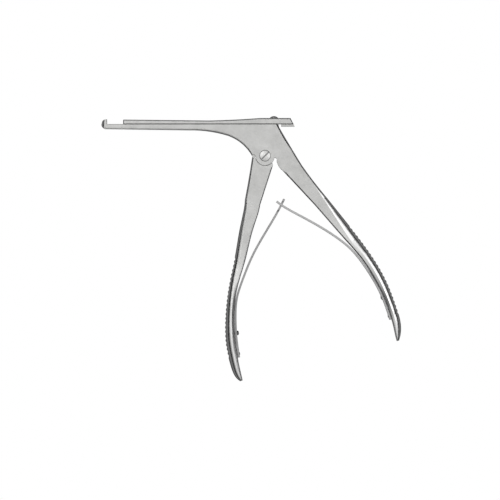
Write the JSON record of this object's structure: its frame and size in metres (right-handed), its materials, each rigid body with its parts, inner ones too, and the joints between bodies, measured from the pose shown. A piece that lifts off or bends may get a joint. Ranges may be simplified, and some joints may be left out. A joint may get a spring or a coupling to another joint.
{
  "type": "bone rongeur",
  "caption": "Sliding-shaft bone punch lying on its side: a footplate and sliding upper shaft at the front, squeezed shut by a front lever against a fixed rear handle with crossed leaf springs.",
  "frame": {"origin": "under the middle of the tool's outline, on the surface that it lies on", "axes": "+X back along the shaft towards the handles' side, +Y up through the shaft as the tool is held, +Z through the thickness towards the pivot screw's head"},
  "size_m": [0.1797, 0.1589, 0.0124],
  "materials": {
    "satin_steel": "satin stainless steel",
    "spring_steel": "brushed stainless spring steel",
    "screw_steel": "polished stainless steel"
  },
  "bodies": {
    "frame": {"frame": "satin_steel", "pivot_screw": "screw_steel", "rear_spring": "spring_steel", "rear_spring_screw": "screw_steel", "rear_spring_pin": "screw_steel"},
    "front_handle": {"front_handle": "satin_steel", "front_spring": "spring_steel", "front_spring_screw": "screw_steel", "front_spring_pin": "screw_steel"},
    "slider": {"slider": "satin_steel", "drive_screw": "screw_steel"}
  },
  "joints": [
    {"name": "handle_squeeze", "type": "hinge", "parent": "frame", "child": "front_handle", "pos_m": [0.0084, 0.0556, 0.0062], "axis": [0, 0, 1], "range_deg": [0, 28.05], "stiffness_Nm_per_rad": 1.2, "springref_deg": -8.59, "deforming": ["front_spring", "rear_spring"]},
    {"name": "slider_travel", "type": "slide", "parent": "frame", "child": "slider", "axis": [-1, 0, 0], "range_m": [0, 0.0096]}
  ],
  "couplings": [
    {"joint": "slider_travel", "follows": "handle_squeeze", "m_per_rad": 0.0196}
  ]
}
